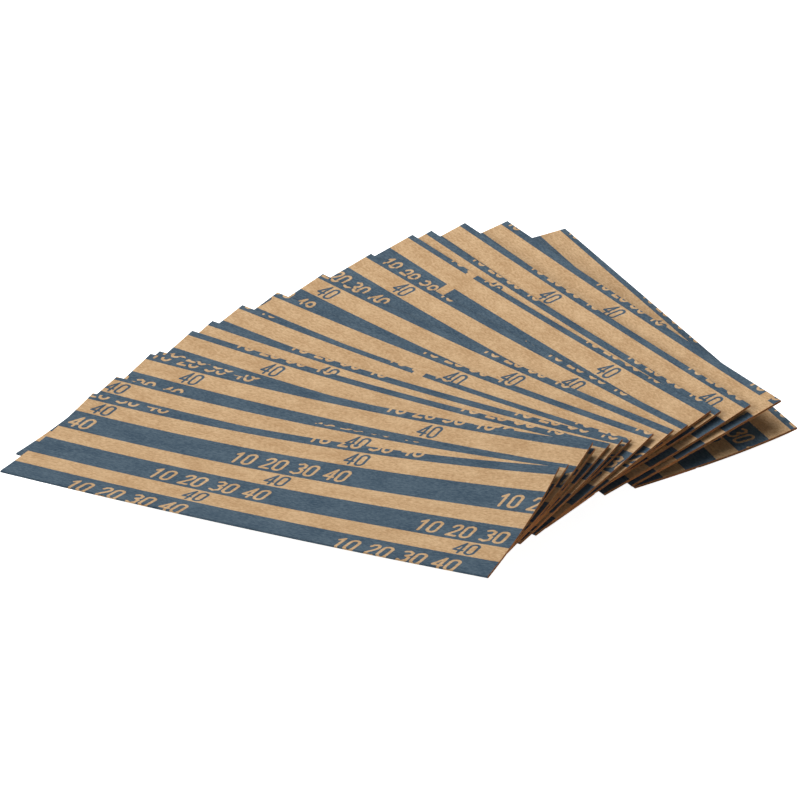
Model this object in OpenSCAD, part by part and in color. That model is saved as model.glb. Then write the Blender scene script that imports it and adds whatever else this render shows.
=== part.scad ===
// Fan of flat kraft paper coin wrappers.
// Each wrapper is one sheet rolled into a tube, glued along a lapped seam and pressed flat.
// They lie on each other, spread round one line to the right of the pile,
// and each lies a little flatter than the one below.
// +X runs to the right, +Y away from the viewer and +Z up. The origin is the middle
// of the underside of the lowest wrapper, which lies flat on the table.

/* [Coins] */
// Diameter of the coin that a wrapper is made for
coin_diameter = 21.2; // [18:0.1:26]
// Thickness of one coin
coin_thickness = 1.95; // [1.6:0.05:2.2]
// Number of coins in a full wrapper
coin_count = 40; // [35:1:45]
// Room across the stack of coins inside the round tube
coin_play = 1; // [0.4:0.1:2]

/* [Paper tube] */
// Thickness of the kraft paper
paper = 0.1; // [0.08:0.01:0.14]
// Length of tube left at each end to fold over the coins
crimp_length = 10; // [7:0.5:13]
// Bare panel between the near fold and the glued lap
lap_inset = 5; // [3:0.5:7]
// Width over which one edge of the sheet laps over the other
lap_width = 8; // [5:0.5:9]
// Run over which the inner edge of the sheet steps up onto the lap
lap_step = 1; // [0.5:0.1:1.5]
// Air between the end of the outer edge and the foot of that step
lap_air = 0.1; // [0.05:0.05:0.3]
// Room between the lap and the panel above it
lap_play = 0.25; // [0.2:0.01:0.3]
// Thickness of the glue in the lap
glue = 0.03; // [0.02:0.01:0.05]
// Bare margin of the lap round the glue
glue_margin = 1.5; // [0.5:0.5:2]

/* [Fan] */
// Tilt of the second lowest wrapper across its width, with its near fold down
steepest_tilt = 9; // [8.5:0.25:10]
// How much flatter each wrapper lies than the one below it
tilt_drop = 0.7; // [0.5:0.05:0.75]
// Air between one wrapper and the next
lie_gap = 0.08; // [0.05:0.01:0.15]
// Direction from the lowest wrapper to the line that the fan turns round
lowest_heading = -69; // [-75:0.5:-60]

/* [Hidden] */
// Each list runs from the top wrapper to the lowest one.
// How far each wrapper is turned out from the lowest one
turned = [42.5, 38.5, 37, 35.5, 32, 30.5, 26.5, 24, 19.5, 14, 11, 9.5, 8.5, 6.5, 0];
// Distance from the line that the fan turns round to the near end of each wrapper
reach = [67.5, 68.5, 68, 68, 68, 67.5, 68, 66.5, 66, 67, 68, 67.5, 66, 65, 63.5];
// How far each wrapper has slipped sideways, positive away from the viewer
slip = [-1, -3, 3.5, 1.5, 1, 2, -1, 0, -1.5, -4.5, -2, -2, 2.5, 6, -0.5];

wrapper_count = len(turned);
lowest = wrapper_count;
kraft = [0.81, 0.68, 0.53];
glue_tint = [0.9, 0.87, 0.78];
$fn = 32;

// Pressed flat, the tube is two panels with the lap and its play between them.
pressed = 3 * paper + glue + lap_play;
tube_length = coin_count * coin_thickness + 2 * crimp_length;
// The sheet is as long round the two folds as it was round the open tube.
round_girth = PI * (coin_diameter + coin_play + paper);
fold_girth = PI * (pressed - paper);
flat_width = (round_girth - fold_girth) / 2 + pressed;

lap_end = lap_inset + lap_width;
step_foot = lap_end + lap_air;
step_end = step_foot + lap_step;
lap_floor = paper + glue;

// The line that the fan turns round, seen from above
pivot = turn_in_plan([reach[lowest - 1] + tube_length / 2, -slip[lowest - 1]], lowest_heading);

function turn_in_plan(p, a) = [p.x * cos(a) - p.y * sin(a), p.x * sin(a) + p.y * cos(a)];

function heading(k) = lowest_heading + turned[k - 1];

function tilt_of(k) = k == lowest ? 0 : steepest_tilt - tilt_drop * (lowest - 1 - k);

// Distance, seen from above, from the near fold to the middle line of wrapper k
function half_span(k) = flat_width * cos(tilt_of(k)) / 2;

// How far beyond the near fold of the wrapper below the far fold of wrapper k ends, at its near end
function corner_across(k) =
    let (step = turned[k - 1] - turned[k])
    (slip[k - 1] + half_span(k)) * cos(step) - reach[k - 1] * sin(step) - slip[k] + half_span(k + 1);

// Height of the near fold. The corner at the near end of the far fold is the part of a wrapper
// that comes closest to the one below, and it just clears it. A wrapper turns in the plane of
// the one below, so that distance stays the same in every position.
function fold_height(k) =
    k == lowest ? 0
    : k == lowest - 1 ? pressed + lie_gap
    : fold_height(k + 1) + corner_across(k) * tan(tilt_of(k + 1))
        + (pressed + lie_gap) / cos(tilt_of(k + 1)) - flat_width * sin(tilt_of(k));

// Moves a piece drawn flat, with its far end and near fold on the axes, to its place in the fan.
module in_fan(k) {
    translate([pivot.x, pivot.y, fold_height(k)])
        rotate([0, 0, heading(k)])
            translate([-reach[k - 1] - tube_length, slip[k - 1] - half_span(k), 0])
                rotate([tilt_of(k), 0, 0])
                    children();
}

// Outline of a flat band with a round fold at each side
module pressed_outline(width, height) {
    translate([height / 2, 0])
        square([width - height, height]);
    for (x = [height / 2, width - height / 2])
        translate([x, height / 2])
            circle(d = height);
}

// One edge of the sheet, which steps up and lies over the other edge inside the tube
module inner_edge() {
    polygon([
        [lap_inset, lap_floor],
        [step_foot, lap_floor],
        [step_end, 0],
        [step_end + lap_step, 0],
        [step_end + lap_step, paper],
        [step_end, paper],
        [step_foot, lap_floor + paper],
        [lap_inset, lap_floor + paper]
    ]);
}

// The whole sheet in section: top panel, two folds and an underside that laps over itself
module sheet_section() {
    difference() {
        pressed_outline(flat_width, pressed);
        translate([paper, paper])
            pressed_outline(flat_width - 2 * paper, pressed - 2 * paper);
        translate([lap_end, -paper])
            square([step_end - lap_end, 2 * paper]);
    }
    inner_edge();
}

module wrapper(k) {
    color(kraft)
        in_fan(k)
            rotate([90, 0, 90])
                linear_extrude(height = tube_length)
                    sheet_section();
}

// The line of glue between the two edges of the sheet
module seam_glue(k) {
    color(glue_tint)
        in_fan(k)
            translate([glue_margin, lap_inset + glue_margin, paper])
                cube([tube_length - 2 * glue_margin, lap_width - 2 * glue_margin, glue]);
}

function numbered(name, k) = str(name, k < 10 ? "_0" : "_", k);

for (k = [1:wrapper_count]) {
    wrapper(k);
    seam_glue(k);
}
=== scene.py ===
from math import cos, pi, radians, sin

import bpy
import numpy
from mathutils import Matrix, Vector


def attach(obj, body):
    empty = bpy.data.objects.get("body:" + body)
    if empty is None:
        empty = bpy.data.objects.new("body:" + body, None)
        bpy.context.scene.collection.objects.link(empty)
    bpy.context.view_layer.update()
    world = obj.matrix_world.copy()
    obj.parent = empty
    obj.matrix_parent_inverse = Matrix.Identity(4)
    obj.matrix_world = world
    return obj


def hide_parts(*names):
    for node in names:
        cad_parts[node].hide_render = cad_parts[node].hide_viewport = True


# Looks of a fan of flat kraft paper coin wrappers. The CAD says where each one lies and how large it is.
# This script bends the paper, prints it and lights it. It draws in millimetres and places in metres.
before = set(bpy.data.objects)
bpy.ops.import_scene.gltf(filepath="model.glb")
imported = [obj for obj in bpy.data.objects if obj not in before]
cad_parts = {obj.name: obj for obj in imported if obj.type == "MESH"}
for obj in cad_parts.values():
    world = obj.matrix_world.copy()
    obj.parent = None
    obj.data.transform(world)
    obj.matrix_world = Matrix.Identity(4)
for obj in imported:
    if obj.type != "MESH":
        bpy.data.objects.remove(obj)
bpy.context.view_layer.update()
scene = bpy.context.scene
scene.view_settings.view_transform = "Standard"
mm = 0.001
print("frame loaded,", len(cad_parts), "nodes")


# helpers for node trees

def feed(tree, socket, value):
    if isinstance(value, bpy.types.NodeSocket):
        tree.links.new(value, socket)
    else:
        socket.default_value = value


def addNode(tree, kind, inputs=None, **settings):
    made = tree.nodes.new(kind)
    for name, value in settings.items():
        setattr(made, name, value)
    for name, value in (inputs or {}).items():
        feed(tree, made.inputs[name], value)
    return made


def calc(tree, operation, *values, clamp=False):
    made = addNode(tree, "ShaderNodeMath", operation=operation, use_clamp=clamp)
    for socket, value in zip(made.inputs, values):
        feed(tree, socket, value)
    return made.outputs["Value"]


def vectorCalc(tree, operation, *values):
    made = addNode(tree, "ShaderNodeVectorMath", operation=operation)
    for socket, value in zip(made.inputs, values):
        feed(tree, socket, value)
    return made.outputs["Value" if operation in ("DOT_PRODUCT", "DISTANCE") else "Vector"]


def joinXyz(tree, x, y, z):
    return addNode(tree, "ShaderNodeCombineXYZ", {"X": x, "Y": y, "Z": z}).outputs["Vector"]


def splitXyz(tree, vector):
    return addNode(tree, "ShaderNodeSeparateXYZ", {"Vector": vector}).outputs


def fade(tree, value, start, end):  # 0 at start, 1 at end, smooth between
    ramp = addNode(tree, "ShaderNodeMapRange", {"Value": value}, interpolation_type="SMOOTHSTEP")
    feed(tree, ramp.inputs["From Min"], start)
    feed(tree, ramp.inputs["From Max"], end)
    return ramp.outputs["Result"]


def newGroup(kind, name, inputs, outputs):
    group = bpy.data.node_groups.new(name, kind)
    for label, socketKind in inputs:
        group.interface.new_socket(label, in_out="INPUT", socket_type=socketKind)
    for label, socketKind in outputs:
        group.interface.new_socket(label, in_out="OUTPUT", socket_type=socketKind)
    given = group.nodes.new("NodeGroupInput").outputs
    result = group.nodes.new("NodeGroupOutput").inputs
    return group, given, result


def useGroup(tree, group, inputs):
    made = addNode(tree, "ShaderNodeGroup", node_tree=group)
    for name, value in inputs.items():
        feed(tree, made.inputs[name], value)
    return made.outputs


def linear(*srgb):  # a screen colour, 0 to 255, through the sRGB curve
    parts = [v / 255 for v in srgb]
    return tuple(v / 12.92 if v < 0.04 else ((v + 0.055) / 1.055) ** 2.4 for v in parts) + (1,)


# camera at the photo's angle

photoCamera = {
    "focalPixels": 2968,  # for an image of 800 pixels
    "imagePixels": 800,
    "sensorWidth": 36,
    "elevation": 31.03,
    "roll": -5.54,
    "distance": 584.3,
    "aim": (-40.39, -12.66, 0.4),
}


def makeCamera():
    camera = bpy.data.objects.new("photoCamera", bpy.data.cameras.new("photoCamera"))
    camera.data.sensor_width = photoCamera["sensorWidth"]
    camera.data.lens = photoCamera["focalPixels"] / photoCamera["imagePixels"] * photoCamera["sensorWidth"]
    lift = radians(photoCamera["elevation"])
    turn = Matrix.Rotation(pi / 2 - lift, 4, "X") @ Matrix.Rotation(radians(photoCamera["roll"]), 4, "Z")
    back = Vector((0, -cos(lift), sin(lift))) * photoCamera["distance"]
    camera.matrix_world = Matrix.Translation((Vector(photoCamera["aim"]) + back) * mm) @ turn
    scene.collection.objects.link(camera)
    scene.camera = camera


makeCamera()
print("camera made")


# light, floor and white ground

studio = {
    "keyFrom": (-0.2, 0.8, 0.9),
    "keySize": 0.8,
    "keyWatts": 13,
    "fillFrom": (-0.9, -0.2, 0.6),
    "fillSize": 0.6,
    "fillWatts": 6,
    "lowFrom": (0.6, -1, 0.25),  # for the cut ends, which face the viewer
    "lowSize": 0.5,
    "lowWatts": 2,
    "worldLevel": 0.07,
    "floorSide": 6,
    "floorDrop": 0.00005,
    "floorColour": (0.9, 0.9, 0.9, 1),
    "floorRoughness": 0.9,
    "floorGlow": 0.93,
}


def addLamp(name, place, size, watts):
    lamp = bpy.data.objects.new(name, bpy.data.lights.new(name, "AREA"))
    lamp.data.shape = "DISK"
    lamp.data.size = size
    lamp.data.energy = watts
    lamp.location = place
    lamp.rotation_euler = (-Vector(place)).to_track_quat("-Z", "Y").to_euler()
    scene.collection.objects.link(lamp)


def seenAsGround(tree):  # 1 for rays that should meet a white ground
    path = addNode(tree, "ShaderNodeLightPath").outputs
    seen = calc(tree, "MAXIMUM", path["Is Camera Ray"], path["Is Glossy Ray"])
    return calc(tree, "MAXIMUM", seen, path["Is Transmission Ray"])


def lightWorld():
    world = bpy.data.worlds.new("studioWorld")
    scene.world = world
    world.use_nodes = True
    tree = world.node_tree
    background = tree.nodes["Background"]
    background.inputs["Color"].default_value = (1, 1, 1, 1)
    level = calc(tree, "MAXIMUM", seenAsGround(tree), studio["worldLevel"])
    tree.links.new(level, background.inputs["Strength"])


def makeFloor():
    half = studio["floorSide"] / 2
    mesh = bpy.data.meshes.new("floor")
    drop = -studio["floorDrop"]
    mesh.from_pydata([(-half, -half, drop), (half, -half, drop), (half, half, drop), (-half, half, drop)],
                     [], [(0, 1, 2, 3)])
    floor = bpy.data.objects.new("floor", mesh)
    scene.collection.objects.link(floor)
    material = bpy.data.materials.new("paleFloor")
    material.use_nodes = True
    tree = material.node_tree
    shader = tree.nodes["Principled BSDF"]
    shader.inputs["Base Color"].default_value = studio["floorColour"]
    shader.inputs["Roughness"].default_value = studio["floorRoughness"]
    shader.inputs["Specular IOR Level"].default_value = 0
    shader.inputs["Emission Color"].default_value = (1, 1, 1, 1)
    glow = calc(tree, "MULTIPLY", seenAsGround(tree), studio["floorGlow"])
    tree.links.new(glow, shader.inputs["Emission Strength"])
    mesh.materials.append(material)


addLamp("keyLamp", studio["keyFrom"], studio["keySize"], studio["keyWatts"])
addLamp("fillLamp", studio["fillFrom"], studio["fillSize"], studio["fillWatts"])
addLamp("lowLamp", studio["lowFrom"], studio["lowSize"], studio["lowWatts"])
lightWorld()
makeFloor()
print("light and floor made")


# pen-drawn numbers: each is a set of lines, and a group gives the distance to the nearest line

numerals = {
    "advance": 2.45,
    "space": 1.5,
    "slant": 0.14,
    "height": 3.6,
    "penWidth": 0.56,
    "ringRadius": 0.8,
    "ringPlace": 0.85,
    "lines": {
        "1": [(0.3, 2.9), (1, 3.6), (1, 0)],
        "2": [(0.1, 2.8), (0.4, 3.4), (0.9, 3.6), (1.4, 3.4), (1.6, 2.7), (1.3, 1.9), (0.1, 0), (1.7, 0)],
        "3": [(0.1, 3.3), (0.8, 3.6), (1.5, 3.2), (1.5, 2.4), (0.8, 2),
              (1.6, 1.5), (1.6, 0.5), (0.8, 0), (0, 0.3)],
        "4": [(1.3, 0), (1.3, 3.6), (0, 1), (1.7, 1)],
    },
}


def penLineGroup():
    group, given, result = newGroup("ShaderNodeTree", "penLine", [
        ("Point", "NodeSocketVector"),
        ("Start", "NodeSocketVector"),
        ("Run", "NodeSocketVector"),
        ("Pull", "NodeSocketVector"),
        ("Ring", "NodeSocketFloat"),
    ], [("Distance", "NodeSocketFloat")])
    fromStart = vectorCalc(group, "SUBTRACT", given["Point"], given["Start"])
    share = calc(group, "ADD", vectorCalc(group, "DOT_PRODUCT", fromStart, given["Pull"]), 0, clamp=True)
    reached = vectorCalc(group, "MULTIPLY", given["Run"], joinXyz(group, share, share, share))
    away = calc(group, "SUBTRACT", vectorCalc(group, "DISTANCE", fromStart, reached), given["Ring"])
    feed(group, result["Distance"], calc(group, "ABSOLUTE", away))
    return group


penLine = penLineGroup()


def numberGroup(name, text):
    group, given, result = newGroup("ShaderNodeTree", name, [("Point", "NodeSocketVector")],
                                    [("Distance", "NodeSocketFloat")])
    nearest = None
    penX = 0
    for sign in text:
        if sign == " ":
            penX += numerals["space"]
            continue
        if sign == "0":  # a ring: one line with a radius
            low = numerals["ringRadius"]
            corners = [(numerals["ringPlace"], low), (numerals["ringPlace"], numerals["height"] - low)]
            ring = low
        else:
            corners = numerals["lines"][sign]
            ring = 0
        for start, end in zip(corners, corners[1:]):
            run = Vector((end[0] - start[0], end[1] - start[1], 0))
            away = useGroup(group, penLine, {
                "Point": given["Point"],
                "Start": (penX + start[0], start[1], 0),
                "Run": run,
                "Pull": run / run.length_squared,
                "Ring": ring,
            })["Distance"]
            nearest = away if nearest is None else calc(group, "MINIMUM", nearest, away)
        penX += numerals["advance"]
    feed(group, result["Distance"], nearest)
    return group


# stripes with numbers left bare in them, and small inked numbers on the kraft between

stripePrint = {
    "period": 11.3,
    "bareWidth": 4.7,
    "numbers": "10 20 30 40",
    "numbersEvery": 53.5,
    "numbersStep": 11,  # each stripe's row of numbers starts this much before that of the next one behind
    "numbersFoot": 1.1,
    "mark": "40",
    "markStart": 20.6,
    "markSize": 0.95,
    "markFoot": 0.6,
    "bandWidth": 2.6,
    "bandShift": 8,
    "edgeSoft": 0.12,
    "edgeWander": 0.22,
    "wanderScale": 2.2,
    "wanderDetail": 3,
    # read off each wrapper from the top one down: where the numbers in its far stripe start,
    # and how much of that stripe is left on the near side of the far fold
    "numbersStart": [47, 44, 0.5, 54, 11, 20, 39, 40, -6, 4, 14, 15.5, 25, 35, 36],
    "farStripe": [2.4, 1.3, 2.2, 1.8, 1.8, 1.8, 1.5, 1.7, 1.8, 1.7, 1.5, 1.7, 1.6, 1.9, 1.5],
    "bareBands": {"wrapper_07": 46, "wrapper_11": 20.8, "wrapper_14": 93.5},
    "noBand": 500,  # further along than any wrapper reaches
}


def stripePrintGroup():
    group, given, result = newGroup("ShaderNodeTree", "stripePrint", [
        ("Place", "NodeSocketVector"),
        ("Band", "NodeSocketFloat"),
    ], [("Ink", "NodeSocketFloat")])
    period = stripePrint["period"]
    wander = addNode(group, "ShaderNodeTexNoise", {
        "Vector": given["Place"],
        "Scale": stripePrint["wanderScale"],
        "Detail": stripePrint["wanderDetail"],
    })
    wobble = calc(group, "MULTIPLY", calc(group, "SUBTRACT", wander.outputs["Fac"], 0.5),
                  stripePrint["edgeWander"])
    along, around, outside = splitXyz(group, given["Place"])[:3]
    pastBand = calc(group, "GREATER_THAN", given["Band"], 0)
    along = calc(group, "ADD", along, calc(group, "MULTIPLY", pastBand, stripePrint["bandShift"]))
    stripe = calc(group, "FLOOR", calc(group, "DIVIDE", around, period))
    inPeriod = calc(group, "SUBTRACT", around, calc(group, "MULTIPLY", stripe, period))
    # stripe mask from the distance to the middle of the inked part
    inkWidth = period - stripePrint["bareWidth"]
    fromMiddle = calc(group, "ABSOLUTE", calc(group, "SUBTRACT", inPeriod, period - inkWidth / 2))
    soft = stripePrint["edgeSoft"] / 2
    edge = calc(group, "ADD", calc(group, "SUBTRACT", fromMiddle, inkWidth / 2), wobble)
    inked = fade(group, edge, soft, -soft)
    # numbers read along the wrapper, with their tops to the far fold
    rowStart = calc(group, "MULTIPLY", calc(group, "ADD", stripe, 1), stripePrint["numbersStep"])
    inRow = calc(group, "FLOORED_MODULO", calc(group, "ADD", along, rowStart), stripePrint["numbersEvery"])
    halfPen = numerals["penWidth"] / 2

    def penMask(groupOfLines, x, foot, size):
        y = calc(group, "SUBTRACT", foot, inPeriod)
        leaned = calc(group, "SUBTRACT", x, calc(group, "MULTIPLY", y, numerals["slant"]))
        point = vectorCalc(group, "DIVIDE", joinXyz(group, leaned, y, 0), (size, size, size))
        away = useGroup(group, groupOfLines, {"Point": point})["Distance"]
        return fade(group, calc(group, "ADD", away, wobble), halfPen + soft, halfPen - soft)

    bare = penMask(numberGroup("rowOfNumbers", stripePrint["numbers"]), inRow,
                   period - stripePrint["numbersFoot"], 1)
    markX = calc(group, "SUBTRACT", inRow, stripePrint["markStart"])
    mark = penMask(numberGroup("smallNumber", stripePrint["mark"]), markX,
                   stripePrint["bareWidth"] - stripePrint["markFoot"], stripePrint["markSize"])
    ink = calc(group, "MAXIMUM", calc(group, "MULTIPLY", inked, calc(group, "SUBTRACT", 1, bare)), mark)
    # nothing is printed inside the tube or across a bare band
    bandHalf = stripePrint["bandWidth"] / 2
    fromBand = calc(group, "ABSOLUTE", calc(group, "SUBTRACT", given["Band"], bandHalf))
    offBand = fade(group, calc(group, "ADD", fromBand, wobble), bandHalf - soft, bandHalf + soft)
    isOutside = calc(group, "GREATER_THAN", outside, 0.5)
    printable = calc(group, "MULTIPLY", offBand, isOutside)
    feed(group, result["Ink"], calc(group, "MULTIPLY", ink, printable))
    return group


# kraft paper: long fibres, soft clouds and a few dark flecks

kraftFibre = {
    # scales are per millimetre along and around, and the smaller one makes fibres lie along the wrapper
    "fibre": {"scale": (1.1, 2.6, 1), "detail": 6, "roughness": 0.7},
    "cloud": {"scale": (0.15, 0.3, 1), "detail": 4, "roughness": 0.6},
    "fleck": {"scale": (1.5, 3, 1), "detail": 2, "roughness": 0.5},
    "fleckStart": 0.58,
    "fleckFull": 0.85,
    "fibreShare": 0.7,  # of the tone, and clouds give the rest
    "toneDark": 0.36,
    "toneLight": 0.64,
}


def kraftFibreGroup():
    group, given, result = newGroup("ShaderNodeTree", "kraftFibre", [("Place", "NodeSocketVector")], [
        ("Tone", "NodeSocketFloat"),
        ("Fleck", "NodeSocketFloat"),
        ("Height", "NodeSocketFloat"),
    ])

    def noiseOf(kind):
        grain = kraftFibre[kind]
        return addNode(group, "ShaderNodeTexNoise", {
            "Vector": vectorCalc(group, "MULTIPLY", given["Place"], grain["scale"]),
            "Scale": 1,
            "Detail": grain["detail"],
            "Roughness": grain["roughness"],
        }).outputs["Fac"]

    fibre = noiseOf("fibre")
    cloudPart = calc(group, "MULTIPLY", noiseOf("cloud"), 1 - kraftFibre["fibreShare"])
    tone = calc(group, "ADD", calc(group, "MULTIPLY", fibre, kraftFibre["fibreShare"]), cloudPart)
    fleck = fade(group, noiseOf("fleck"), kraftFibre["fleckStart"], kraftFibre["fleckFull"])
    feed(group, result["Tone"], fade(group, tone, kraftFibre["toneDark"], kraftFibre["toneLight"]))
    feed(group, result["Fleck"], fleck)
    feed(group, result["Height"], fibre)
    return group


kraftFibres = kraftFibreGroup()

paperLook = {
    "kraftDark": linear(184, 146, 104),
    "kraftLight": linear(220, 186, 144),
    "kraftFleck": linear(158, 116, 76),
    "inkDark": linear(52, 72, 89),
    "inkLight": linear(88, 106, 119),
    "roughness": 0.8,
    "specular": 0.1,
    "fibreBump": 0.15,
    "fibreDepth": 0.03,
}
edgeLook = {
    "dark": linear(150, 84, 44),
    "light": linear(214, 142, 86),
    "roughness": 0.9,
    "grainPerMetre": 2500,
}
glueLook = {
    "dark": linear(214, 203, 176),
    "light": linear(236, 228, 208),
    "roughness": 0.35,
    "grainPerMetre": 400,
}
grainRelief = {"detail": 4, "bump": 0.2, "depth": 0.02}


def mixColour(tree, share, first, second):
    mix = addNode(tree, "ShaderNodeMix", data_type="RGBA")
    colours = [s for s in mix.inputs if s.type == "RGBA"]
    feed(tree, mix.inputs["Factor"], share)
    feed(tree, colours[0], first)
    feed(tree, colours[1], second)
    return [s for s in mix.outputs if s.type == "RGBA"][0]


def newMaterial(name, roughness):
    material = bpy.data.materials.new(name)
    material.use_nodes = True
    tree = material.node_tree
    shader = tree.nodes["Principled BSDF"]
    shader.inputs["Roughness"].default_value = roughness
    shader.inputs["Specular IOR Level"].default_value = paperLook["specular"]
    return material, tree, shader


def addBump(tree, shader, height, strength, depth):
    bump = addNode(tree, "ShaderNodeBump", {"Height": height, "Strength": strength, "Distance": depth})
    tree.links.new(bump.outputs["Normal"], shader.inputs["Normal"])


def printedKraftMaterial():
    material, tree, shader = newMaterial("printedKraft", paperLook["roughness"])
    place = addNode(tree, "ShaderNodeAttribute", attribute_name="printPlace").outputs["Vector"]
    band = addNode(tree, "ShaderNodeAttribute", attribute_name="bandPlace").outputs["Fac"]
    paper = useGroup(tree, kraftFibres, {"Place": place})
    ink = useGroup(tree, stripePrintGroup(), {"Place": place, "Band": band})["Ink"]
    kraft = mixColour(tree, paper["Tone"], paperLook["kraftDark"], paperLook["kraftLight"])
    kraft = mixColour(tree, paper["Fleck"], kraft, paperLook["kraftFleck"])
    inkColour = mixColour(tree, paper["Tone"], paperLook["inkDark"], paperLook["inkLight"])
    tree.links.new(mixColour(tree, ink, kraft, inkColour), shader.inputs["Base Color"])
    addBump(tree, shader, paper["Height"], paperLook["fibreBump"], paperLook["fibreDepth"] * mm)
    return material


def grainyMaterial(name, look):  # two tones mixed by a noise, for cut edges and glue
    material, tree, shader = newMaterial(name, look["roughness"])
    grain = addNode(tree, "ShaderNodeTexNoise", {
        "Vector": addNode(tree, "ShaderNodeTexCoord").outputs["Object"],
        "Scale": look["grainPerMetre"],
        "Detail": grainRelief["detail"],
    }).outputs["Fac"]
    tree.links.new(mixColour(tree, grain, look["dark"], look["light"]), shader.inputs["Base Color"])
    addBump(tree, shader, grain, grainRelief["bump"], grainRelief["depth"] * mm)
    return material


printedKraft = printedKraftMaterial()
cutPaperEdge = grainyMaterial("cutPaperEdge", edgeLook)
driedGlue = grainyMaterial("driedGlue", glueLook)
print("paper and print made")


# the sheet in section: one long edge laps over the other, inside the flat tube

sheet = {
    "paper": 0.1,
    "squeeze": 0.1,  # how much flatter the tube looks than in the CAD, which leaves room for the bends
    "lapInset": 5,
    "lapWidth": 8,
    "lapAir": 0.1,
    "lapStep": 1,
    "glue": 0.03,
    "glueMargin": 1.5,
    "panelStep": 1.25,
    "foldSteps": 8,
    "rows": 50,
}


def evenRun(start, end):
    start = Vector(start)
    run = Vector(end) - start
    steps = max(1, round(run.length / sheet["panelStep"]))
    return [start + run * i / steps for i in range(steps)]


def foldArc(middle, radius, fromAngle):
    angles = [radians(fromAngle + 180 * i / sheet["foldSteps"]) for i in range(sheet["foldSteps"])]
    return [Vector((middle[0] + radius * cos(a), middle[1] + radius * sin(a))) for a in angles]


def sheetPath(width, height):  # middle of the paper, from its inner edge round to its outer edge
    half = sheet["paper"] / 2
    fold = height / 2 - half
    lapEnd = sheet["lapInset"] + sheet["lapWidth"]
    stepFoot = lapEnd + sheet["lapAir"]
    lapHeight = sheet["paper"] + sheet["glue"] + half
    nearFold = (height / 2, height / 2)
    farFold = (width - height / 2, height / 2)
    path = evenRun((sheet["lapInset"], lapHeight), (stepFoot, lapHeight))
    path += evenRun((stepFoot, lapHeight), (stepFoot + sheet["lapStep"], half))
    path += evenRun((stepFoot + sheet["lapStep"], half), (farFold[0], half))
    path += foldArc(farFold, fold, -90)
    farAt = len(path) - sheet["foldSteps"] // 2  # the point in the middle of the far fold
    path += evenRun((farFold[0], height - half), (nearFold[0], height - half))
    path += foldArc(nearFold, fold, 90)
    path += evenRun((nearFold[0], half), (lapEnd, half))
    path.append(Vector((lapEnd, half)))
    return path, farAt


def thickOutline(path, farAt):  # outer side, then back along the inner side
    around = [0]
    for before, after in zip(path, path[1:]):
        around.append(around[-1] + (after - before).length)
    outer = []
    inner = []
    for i, point in enumerate(path):
        run = path[min(i + 1, len(path) - 1)] - path[max(i - 1, 0)]
        side = Vector((run.y, -run.x)).normalized() * sheet["paper"] / 2
        girth = around[i] - around[farAt]
        outer.append((point + side, girth, 1))
        inner.append((point - side, girth, 0))
    return outer + inner[::-1]


def glueOutline():
    nearEdge = sheet["lapInset"] + sheet["glueMargin"]
    farEdge = sheet["lapInset"] + sheet["lapWidth"] - sheet["glueMargin"]
    foot = sheet["paper"]
    top = foot + sheet["glue"]
    corners = evenRun((nearEdge, foot), (farEdge, foot)) + [Vector((farEdge, foot))]
    corners += evenRun((farEdge, top), (nearEdge, top)) + [Vector((nearEdge, top))]
    return [(corner, 0, 0) for corner in corners]


def sectionObject(name, outline):
    mesh = bpy.data.meshes.new(name)
    points = [(*place, 0) for place, girth, outside in outline]
    mesh.from_pydata(points, [(i, (i + 1) % len(points)) for i in range(len(points))], [])
    columns = {
        "across": [place.x for place, girth, outside in outline],
        "height": [place.y for place, girth, outside in outline],
        "girth": [girth for place, girth, outside in outline],
        "outside": [outside for place, girth, outside in outline],
    }
    for label, values in columns.items():
        mesh.attributes.new(label, "FLOAT", "POINT").data.foreach_set("value", values)
    section = bpy.data.objects.new(name, mesh)
    scene.collection.objects.link(section)
    return section


# a section pushed along a wrapper and bent as its paper is bent

bends = {
    # read off the photo from the top wrapper down: how far the corners stand off the flat CAD wrapper
    "farLeft": [0.4, -0.9, -1, -0.9, -0.5, -0.2, 0, 0.1, 0.2, 0.1, 0.2, 0.4, 0.2, -2.2, 0],
    "farRight": [0.9, 0.4, 0.9, 0.5, 0.3, 0.5, 0.3, 0.6, 0.6, 0.5, 0.9, 1, 0.8, 0.1, 1.7],
    "nearLeft": [3.9, 2.4, 0.5, 0.5, -0.1, -0.1, 0.2, 0.3, 0.5, 0.4, 0.2, 0.2, 0.2, 0, 0],
    "nearRight": [-0.4, -0.2, -0.5, -0.1, 0, 0, 0, 0, 0, -0.4, -0.2, 0, 0, 0, 0],
    "farSag": [2.4, 1.8, 1.6, 1.5, 1.4, 1.4, 1.2, 1.1, 1.1, 1, 0.9, 0.8, 0.6, 0.6, 0],
    # these three are of the top wrapper, and less on those below
    "nearSag": 0.7,
    "crossBow": 0.8,
    "endBow": 0.2,
    "endReach": 35,
    "endFacing": 0.9,  # faces turned this far along the wrapper are cut ends
    "trims": {"wrapper_01": (0.6, 0.5)},  # how much shorter it looks at its left and right ends
}


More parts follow.
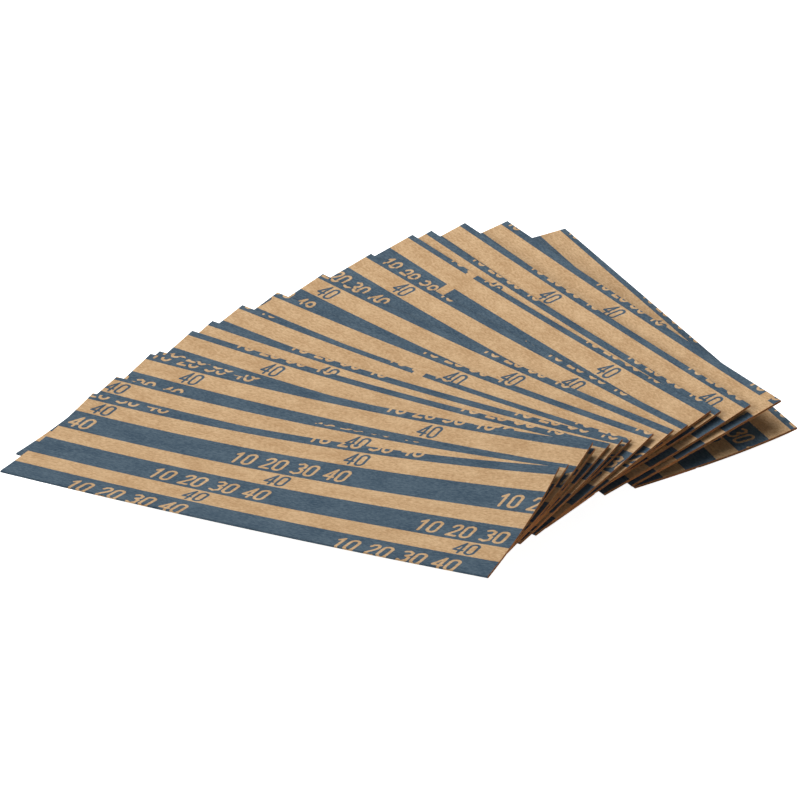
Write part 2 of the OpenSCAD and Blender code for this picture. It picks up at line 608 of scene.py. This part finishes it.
def bentStripTree():
    tree, given, result = newGroup("GeometryNodeTree", "bentStrip", [
        ("Section", "NodeSocketObject"),
        ("Start", "NodeSocketFloat"),
        ("End", "NodeSocketFloat"),
        ("Rows", "NodeSocketInt"),
        ("Length", "NodeSocketFloat"),
        ("Width", "NodeSocketFloat"),
        ("Far left", "NodeSocketFloat"),
        ("Far right", "NodeSocketFloat"),
        ("Near left", "NodeSocketFloat"),
        ("Near right", "NodeSocketFloat"),
        ("Near sag", "NodeSocketFloat"),
        ("Far sag", "NodeSocketFloat"),
        ("Cross bow", "NodeSocketFloat"),
        ("End bow", "NodeSocketFloat"),
        ("End reach", "NodeSocketFloat"),
        ("Numbers start", "NodeSocketFloat"),
        ("Far stripe", "NodeSocketFloat"),
        ("Band place", "NodeSocketFloat"),
        ("Sheet", "NodeSocketMaterial"),
        ("Cut edge", "NodeSocketMaterial"),
    ], [("Geometry", "NodeSocketGeometry")])
    tree.is_modifier = True

    def stored(geometry, name, value, kind="FLOAT"):
        made = addNode(tree, "GeometryNodeStoreNamedAttribute", {"Geometry": geometry, "Name": name},
                       data_type=kind, domain="POINT")
        feed(tree, made.inputs["Value"], value)
        return made.outputs["Geometry"]

    def read(name):
        made = addNode(tree, "GeometryNodeInputNamedAttribute", {"Name": name}, data_type="FLOAT")
        return made.outputs["Attribute"]

    # push the section along a line
    section = addNode(tree, "GeometryNodeObjectInfo", {"Object": given["Section"]}).outputs["Geometry"]
    profile = addNode(tree, "GeometryNodeMeshToCurve", {"Mesh": section}).outputs["Curve"]
    line = addNode(tree, "GeometryNodeCurvePrimitiveLine", {
        "Start": joinXyz(tree, given["Start"], 0, 0),
        "End": joinXyz(tree, given["End"], 0, 0),
    }).outputs["Curve"]
    line = addNode(tree, "GeometryNodeResampleCurve", {
        "Curve": line, "Count": given["Rows"]}).outputs["Curve"]
    placeAlong = splitXyz(tree, addNode(tree, "GeometryNodeInputPosition").outputs["Position"])["X"]
    line = stored(line, "along", placeAlong)
    strip = addNode(tree, "GeometryNodeCurveToMesh", {
        "Curve": line, "Profile Curve": profile, "Fill Caps": True}).outputs["Mesh"]

    along = read("along")
    across = read("across")
    share = calc(tree, "DIVIDE", along, given["Length"])
    rest = calc(tree, "SUBTRACT", 1, share)
    u = calc(tree, "DIVIDE", across, given["Width"])
    toNear = calc(tree, "SUBTRACT", 1, u)
    uSquared = calc(tree, "MULTIPLY", u, u)

    def product(*factors):
        value = factors[0]
        for factor in factors[1:]:
            value = calc(tree, "MULTIPLY", value, factor)
        return value

    # corners stand off the flat wrapper, and its folds sag between the ends;
    # the factors make each sag as deep as its setting says, at its deepest point
    sagFactor = -4
    troughFactor = -27 / 4
    offFlat = [
        product(u, rest, given["Far left"]),
        product(uSquared, u, share, given["Far right"]),
        product(toNear, rest, given["Near left"]),
        product(toNear, share, given["Near right"]),
        product(toNear, share, rest, given["Near sag"], sagFactor),
        product(u, share, rest, given["Far sag"], sagFactor),
        product(u, toNear, given["Cross bow"], sagFactor),
    ]
    # the open right end is bowed more, nearer to its far fold
    fromEnd = calc(tree, "DIVIDE", calc(tree, "SUBTRACT", given["Length"], along), given["End reach"])
    nearEnd = calc(tree, "SUBTRACT", 1, fromEnd, clamp=True)
    trough = product(uSquared, toNear, troughFactor)
    offFlat.append(product(trough, nearEnd, nearEnd, given["End bow"]))
    height = read("height")
    for part in offFlat:
        height = calc(tree, "ADD", height, part)
    bent = joinXyz(tree, along, across, height)
    strip = addNode(tree, "GeometryNodeSetPosition", {
        "Geometry": strip, "Position": bent}).outputs["Geometry"]

    # where the print lies on the sheet
    printPlace = joinXyz(tree, calc(tree, "SUBTRACT", along, given["Numbers start"]),
                         calc(tree, "SUBTRACT", read("girth"), given["Far stripe"]), read("outside"))
    strip = stored(strip, "printPlace", printPlace, "FLOAT_VECTOR")
    strip = stored(strip, "bandPlace", calc(tree, "SUBTRACT", along, given["Band place"]))

    facing = splitXyz(tree, addNode(tree, "GeometryNodeInputNormal").outputs["Normal"])["X"]
    isEnd = calc(tree, "GREATER_THAN", calc(tree, "ABSOLUTE", facing), bends["endFacing"])
    strip = addNode(tree, "GeometryNodeSetShadeSmooth", {
        "Geometry": strip, "Shade Smooth": calc(tree, "SUBTRACT", 1, isEnd)}).outputs["Geometry"]
    strip = addNode(tree, "GeometryNodeRealizeInstances", {"Geometry": strip}).outputs["Geometry"]
    strip = addNode(tree, "GeometryNodeSetMaterial", {
        "Geometry": strip, "Material": given["Sheet"]}).outputs["Geometry"]
    strip = addNode(tree, "GeometryNodeSetMaterial", {
        "Geometry": strip, "Material": given["Cut edge"], "Selection": isEnd}).outputs["Geometry"]
    feed(tree, result["Geometry"], strip)
    return tree


def bakeStrip(name, tree, values, place):
    piece = bpy.data.objects.new(name, bpy.data.meshes.new(name))
    scene.collection.objects.link(piece)
    modifier = piece.modifiers.new("bentStrip", "NODES")
    modifier.node_group = tree
    for item in tree.interface.items_tree:
        if item.in_out == "INPUT":
            value = values[item.name]
            isFloat = item.socket_type == "NodeSocketFloat"
            modifier[item.identifier] = float(value) if isFloat else value
    graph = bpy.context.evaluated_depsgraph_get()
    bentPiece = piece.evaluated_get(graph)
    mesh = bpy.data.meshes.new_from_object(bentPiece, preserve_all_data_layers=True, depsgraph=graph)
    piece.modifiers.clear()
    piece.data = mesh
    for spare in ("along", "across", "height", "girth", "outside"):
        mesh.attributes.remove(mesh.attributes[spare])
    mesh.transform(place @ Matrix.Scale(mm, 4))
    return piece


# where each wrapper lies, from its CAD solid: its long axis and its largest face give its directions

def placeOf(node):
    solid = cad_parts[node].data
    points = numpy.array([v.co for v in solid.vertices])
    along = Vector(numpy.linalg.svd(points - points.mean(axis=0), full_matrices=False)[2][0])
    if along.x < 0:
        along.negate()
    up = max(solid.polygons, key=lambda face: face.area).normal.copy()
    if up.z < 0:
        up.negate()
    turn = Matrix((along, up.cross(along), up))
    local = [turn @ v.co for v in solid.vertices]
    low = Vector([min(v[i] for v in local) for i in range(3)])
    high = Vector([max(v[i] for v in local) for i in range(3)])
    place = Matrix.Translation(turn.transposed() @ low) @ turn.transposed().to_4x4()
    return place, (high - low) / mm


def makeWrappers():
    tree = bentStripTree()
    sections = {}
    names = sorted(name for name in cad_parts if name.startswith("wrapper"))
    for order, node in enumerate(names):
        place, size = placeOf(node)
        length, width, height = size
        if not sections:
            path, farAt = sheetPath(width, height - sheet["squeeze"])
            sections["sheet"] = sectionObject("sheetSection", thickOutline(path, farAt))
            sections["glue"] = sectionObject("glueSection", glueOutline())
        leftTrim, rightTrim = bends["trims"].get(node, (0, 0))
        above = (len(names) - 1 - order) / (len(names) - 1)  # 1 for the top wrapper, 0 for the lowest
        values = {
            "Section": sections["sheet"],
            "Start": leftTrim,
            "End": length - rightTrim,
            "Rows": sheet["rows"],
            "Length": length,
            "Width": width,
            "Far left": bends["farLeft"][order],
            "Far right": bends["farRight"][order],
            "Near left": bends["nearLeft"][order],
            "Near right": bends["nearRight"][order],
            "Near sag": bends["nearSag"] * above * above,
            "Far sag": bends["farSag"][order],
            "Cross bow": bends["crossBow"] * above,
            "End bow": bends["endBow"] * above,
            "End reach": bends["endReach"],
            "Numbers start": stripePrint["numbersStart"][order],
            "Far stripe": stripePrint["farStripe"][order],
            "Band place": stripePrint["bareBands"].get(node, stripePrint["noBand"]),
            "Sheet": printedKraft,
            "Cut edge": cutPaperEdge,
        }
        paper = bakeStrip("paper_" + node[-2:], tree, values, place)
        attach(paper, node)
        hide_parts(node)
        values["Section"] = sections["glue"]
        values["Start"] = sheet["glueMargin"]
        values["End"] = length - sheet["glueMargin"]
        values["Sheet"] = driedGlue
        values["Cut edge"] = driedGlue
        glue = bakeStrip("glue_" + node[-2:], tree, values, place)
        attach(glue, node)
        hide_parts("seam_glue" + node[-3:])
    for section in sections.values():
        bpy.data.objects.remove(section)
    print(len(names), "wrappers made")


makeWrappers()
